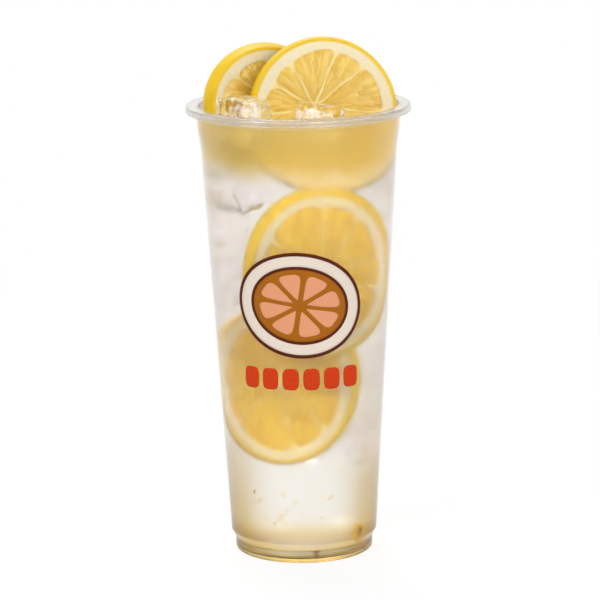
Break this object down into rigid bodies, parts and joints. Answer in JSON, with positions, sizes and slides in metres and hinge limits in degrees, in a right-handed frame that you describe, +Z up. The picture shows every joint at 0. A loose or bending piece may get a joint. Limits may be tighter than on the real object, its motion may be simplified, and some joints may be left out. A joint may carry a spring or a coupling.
{
  "type": "cup of lemonade",
  "caption": "Tall slim clear plastic cup filled with iced lemonade, with lemon slices and ice standing in the mouth.",
  "frame": {"origin": "middle of the cup's base, on the surface that it stands on", "axes": "+Z up along the cup's axis, -Y the printed front that the lemon slices face, +X to the right"},
  "size_m": [0.09, 0.09, 0.2087],
  "materials": {
    "cup_plastic": "clear, slightly hazy injection-moulded polypropylene",
    "drink": "cloudy pale yellow drink",
    "lemon": "wet cut lemon: yellow peel, cream pith and shining pulp",
    "ice": "clear melting ice with a cloudy core",
    "print": "plain screen print on the cup's outside"
  },
  "bodies": {
    "root": {"cup": "cup_plastic", "lemonade": "drink", "lemon_slice_front": "lemon", "lemon_slice_back": "lemon", "ice_cube_left": "ice", "ice_cube_middle": "ice", "ice_cube_back": "ice"}
  },
  "joints": []
}
